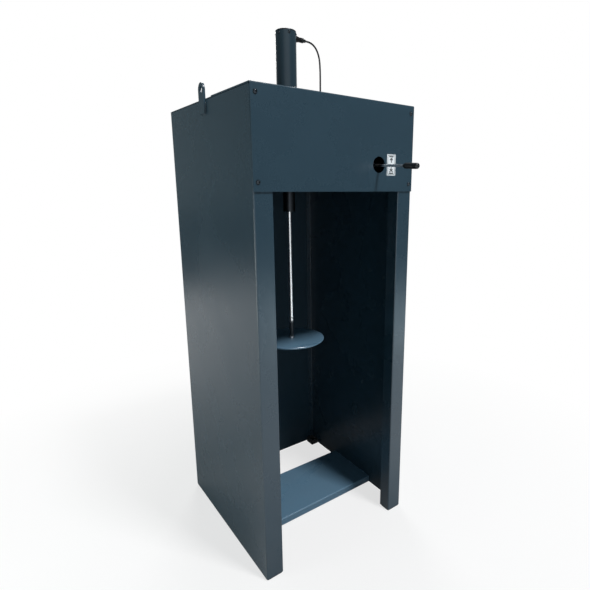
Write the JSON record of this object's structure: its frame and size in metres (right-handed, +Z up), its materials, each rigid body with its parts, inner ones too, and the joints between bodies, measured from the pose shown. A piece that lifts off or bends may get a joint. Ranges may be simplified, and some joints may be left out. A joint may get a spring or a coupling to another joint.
{
  "type": "waste compactor",
  "caption": "Upright sheet-steel cabinet, open at the front, whose roof-mounted air cylinder drives a round plate down into a bin; a hand lever on the cover works it.",
  "frame": {"origin": "on the floor, on the axis of the press, under the pad in the middle of the platform", "axes": "+Z up along the press rod, -Y out of the open front, +X to the right as seen from the front"},
  "size_m": [0.806, 1.0827, 2.324],
  "materials": {
    "powder_coat": "satin anthracite powder coat, slightly glossy",
    "zinc_steel": "bright zinc plate",
    "bare_steel": "ground steel",
    "black_steel": "black oxide",
    "black_head": "black anodised",
    "alloy": "machined",
    "chrome_rod": "hard chrome, polished",
    "rubber": "matt black rubber",
    "seal": "polyurethane seal",
    "bronze": "sintered bronze",
    "brass": "nickel-free brass",
    "black_plastic": "moulded black plastic",
    "black_hose": "polyurethane air hose",
    "blue_hose": "polyurethane air hose"
  },
  "bodies": {
    "cabinet": {"left_side_panel": "powder_coat", "right_side_panel": "powder_coat", "back_panel": "powder_coat", "roof_panel": "powder_coat", "front_cover": "powder_coat", "compartment_floor": "powder_coat", "press_platform": "powder_coat", "platform_channel": "powder_coat", "platform_pads": "rubber", "front_left_foot": "rubber", "front_right_foot": "rubber", "rear_left_foot": "rubber", "rear_right_foot": "rubber", "left_lifting_lug": "powder_coat", "right_lifting_lug": "powder_coat", "front_cross_beam": "powder_coat", "rear_cross_beam": "powder_coat", "cylinder_mount_plate": "zinc_steel", "cover_screws": "black_steel", "cover_rivet_nuts": "zinc_steel", "back_panel_screws": "black_steel", "roof_screws": "black_steel", "head_bolts": "black_steel", "beam_bolts": "zinc_steel", "cylinder_barrel": "powder_coat", "front_head": "black_head", "rear_head": "black_head", "barrel_screws": "black_steel", "end_bumpers": "rubber", "rod_bush": "bronze", "rod_seal": "seal", "rod_wiper": "seal", "barrel_roof_seal": "rubber", "valve_block": "alloy", "valve_clevis": "alloy", "valve_cap": "black_head", "lower_centring_spring": "bare_steel", "upper_centring_spring": "bare_steel", "valve_bracket": "zinc_steel", "valve_screws": "black_steel", "lever_pin": "bare_steel", "valve_fittings": "brass", "exhaust_silencers": "bronze", "cap_end_fitting": "black_plastic", "rod_end_fitting": "brass", "roof_grommet": "rubber", "inlet_coupling": "brass", "cap_side_hose": "black_hose", "inner_hoses": "blue_hose"},
    "press": {"piston_rod": "chrome_rod", "piston": "alloy", "piston_rings": "rubber", "piston_nut": "zinc_steel", "press_plate": "powder_coat", "plate_washer": "zinc_steel", "plate_screw": "zinc_steel"},
    "lever": {"lever_hub": "zinc_steel", "lever_rod": "chrome_rod", "lever_grip": "black_plastic"},
    "spool": {"valve_spool": "bare_steel"}
  },
  "joints": [
    {"name": "press_slide", "type": "slide", "parent": "cabinet", "child": "press", "axis": [0, 0, 1], "range_m": [0, 0.54]},
    {"name": "lever_tilt", "type": "hinge", "parent": "cabinet", "child": "lever", "pos_m": [0.195, -0.352, 1.746], "axis": [1, 0, 0], "range_deg": [-15, 15], "stiffness_Nm_per_rad": 20},
    {"name": "spool_slide", "type": "slide", "parent": "cabinet", "child": "spool", "axis": [0, 0, 1], "range_m": [-0.0048, 0.0048], "deforming": ["lower_centring_spring", "upper_centring_spring"]}
  ],
  "couplings": [
    {"joint": "spool_slide", "follows": "lever_tilt", "m_per_rad": 0.018}
  ]
}
